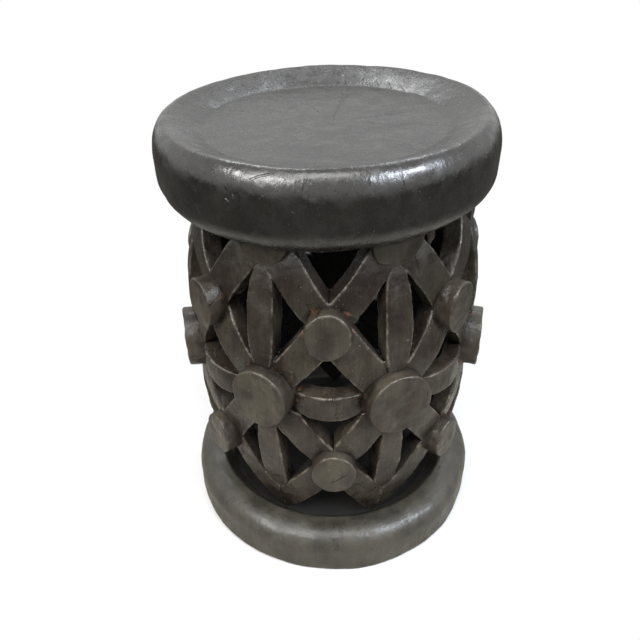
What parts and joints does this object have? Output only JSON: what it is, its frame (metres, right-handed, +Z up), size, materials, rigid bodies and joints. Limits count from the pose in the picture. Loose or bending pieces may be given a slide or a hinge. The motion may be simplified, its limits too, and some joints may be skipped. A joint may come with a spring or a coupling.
{
  "type": "carved openwork stool",
  "caption": "Round wooden stool with a dished seat and rolled rim on a hollow drum of crossing carved bands and round bosses, standing on a base ring.",
  "frame": {"origin": "centre of the face that stands on the ground, which is also the bottom centre of the bounding box", "axes": "+Z up through the middle of the base ring; -Y is the front, where one small upper boss and one small lower boss face the viewer; +X is to the right"},
  "size_m": [0.311, 0.311, 0.4201],
  "materials": {
    "rim_wood": "ebonised, semi-gloss, rubbed by hands, with fine radial cracks",
    "band_wood": "ebonised, satin, pale on its worn edges and reddish in its notches",
    "boss_wood": "ebonised, satin, rubbed grey-brown on its face with a pale edge"
  },
  "bodies": {
    "root": {"seat": "rim_wood", "base_ring": "rim_wood", "rim_tabs": "boss_wood", "spider_body_1": "boss_wood", "spider_body_2": "boss_wood", "spider_body_3": "boss_wood", "spider_body_4": "boss_wood", "spider_body_5": "boss_wood", "spider_body_6": "boss_wood", "spider_body_7": "boss_wood", "upper_boss_1": "boss_wood", "upper_boss_2": "boss_wood", "upper_boss_3": "boss_wood", "upper_boss_4": "boss_wood", "upper_boss_5": "boss_wood", "upper_boss_6": "boss_wood", "upper_boss_7": "boss_wood", "lower_boss_1": "boss_wood", "lower_boss_2": "boss_wood", "lower_boss_3": "boss_wood", "lower_boss_4": "boss_wood", "lower_boss_5": "boss_wood", "lower_boss_6": "boss_wood", "lower_boss_7": "boss_wood", "spider_legs_1": "band_wood", "spider_legs_2": "band_wood", "spider_legs_3": "band_wood", "spider_legs_4": "band_wood", "spider_legs_5": "band_wood", "spider_legs_6": "band_wood", "spider_legs_7": "band_wood", "side_leg_1": "band_wood", "side_leg_2": "band_wood", "side_leg_3": "band_wood", "side_leg_4": "band_wood", "side_leg_5": "band_wood", "side_leg_6": "band_wood", "side_leg_7": "band_wood", "rim_arms_1": "band_wood", "rim_arms_2": "band_wood", "rim_arms_3": "band_wood", "rim_arms_4": "band_wood", "rim_arms_5": "band_wood", "rim_arms_6": "band_wood", "rim_arms_7": "band_wood", "foot_arms_1": "band_wood", "foot_arms_2": "band_wood", "foot_arms_3": "band_wood", "foot_arms_4": "band_wood", "foot_arms_5": "band_wood", "foot_arms_6": "band_wood", "foot_arms_7": "band_wood"}
  },
  "joints": []
}
